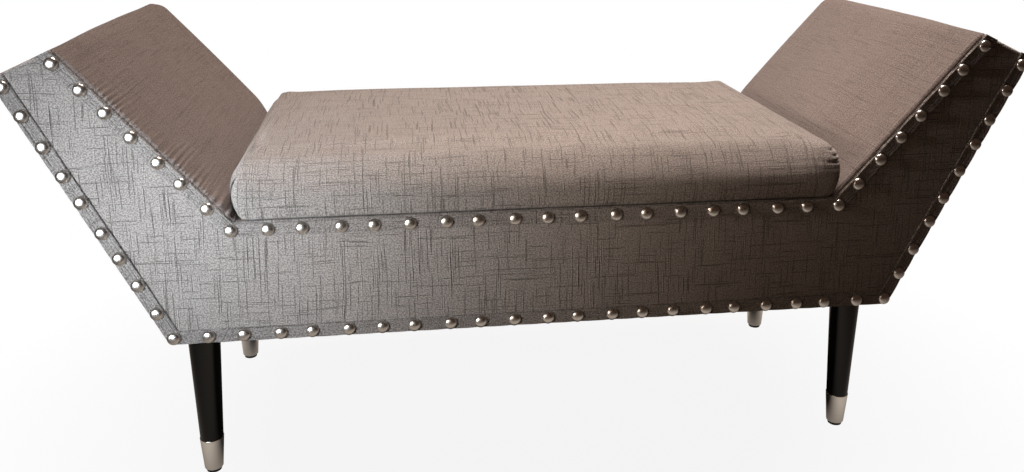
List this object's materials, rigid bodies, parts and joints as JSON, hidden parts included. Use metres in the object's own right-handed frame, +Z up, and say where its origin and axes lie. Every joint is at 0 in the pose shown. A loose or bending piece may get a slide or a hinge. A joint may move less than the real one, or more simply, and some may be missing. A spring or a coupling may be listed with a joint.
{
  "type": "winged bench",
  "caption": "Upholstered window-seat bench with outward-sloping padded wings, a separate crowned seat pad, nail-trimmed front edges and turned black legs with metal ferrules.",
  "frame": {"origin": "on the floor, under the middle of the bench's box", "axes": "+X along the seat, to the right seen from the front; +Y from the front towards the back; +Z up"},
  "size_m": [1.23, 0.4374, 0.562],
  "materials": {
    "linen_weave": "matt slubbed weave",
    "dust_cloth": "matt non-woven cloth",
    "foam": "cut foam",
    "timber": "bare plywood and pine",
    "leg_lacquer": "gloss black lacquer",
    "ferrule_metal": "polished",
    "nail_metal": "polished nickel",
    "zinc_steel": "zinc plated",
    "glide_plastic": "moulded"
  },
  "bodies": {
    "root": {"back_cover": "linen_weave", "back_left_ferrule": "ferrule_metal", "back_left_glide": "glide_plastic", "back_left_leg": "leg_lacquer", "back_left_leg_block": "timber", "back_rail_board": "timber", "back_right_ferrule": "ferrule_metal", "back_right_glide": "glide_plastic", "back_right_leg": "leg_lacquer", "back_right_leg_block": "timber", "bottom_band": "linen_weave", "bottom_nails": "nail_metal", "dust_cover": "dust_cloth", "frame_screws": "zinc_steel", "front_cover": "linen_weave", "front_left_ferrule": "ferrule_metal", "front_left_glide": "glide_plastic", "front_left_leg": "leg_lacquer", "front_left_leg_block": "timber", "front_rail_board": "timber", "front_right_ferrule": "ferrule_metal", "front_right_glide": "glide_plastic", "front_right_leg": "leg_lacquer", "front_right_leg_block": "timber", "hanger_bolts": "zinc_steel", "left_back_wing_plate": "timber", "left_end_board": "timber", "left_end_cover": "linen_weave", "left_front_wing_plate": "timber", "left_inner_band": "linen_weave", "left_inner_nails": "nail_metal", "left_outer_band": "linen_weave", "left_outer_nails": "nail_metal", "left_seat_end_rail": "timber", "left_wing_board": "timber", "left_wing_cover": "linen_weave", "left_wing_foam": "foam", "left_wing_top_rail": "timber", "right_back_wing_plate": "timber", "right_end_board": "timber", "right_end_cover": "linen_weave", "right_front_wing_plate": "timber", "right_inner_band": "linen_weave", "right_inner_nails": "nail_metal", "right_outer_band": "linen_weave", "right_outer_nails": "nail_metal", "right_seat_end_rail": "timber", "right_wing_board": "timber", "right_wing_cover": "linen_weave", "right_wing_foam": "foam", "right_wing_top_rail": "timber", "seat_board": "timber", "seat_cleats": "timber", "seat_cover": "linen_weave", "seat_cross_rails": "timber", "seat_foam": "foam", "seat_rail_band": "linen_weave", "seat_rail_nails": "nail_metal", "seat_screws": "zinc_steel", "tee_nuts": "zinc_steel"}
  },
  "joints": []
}
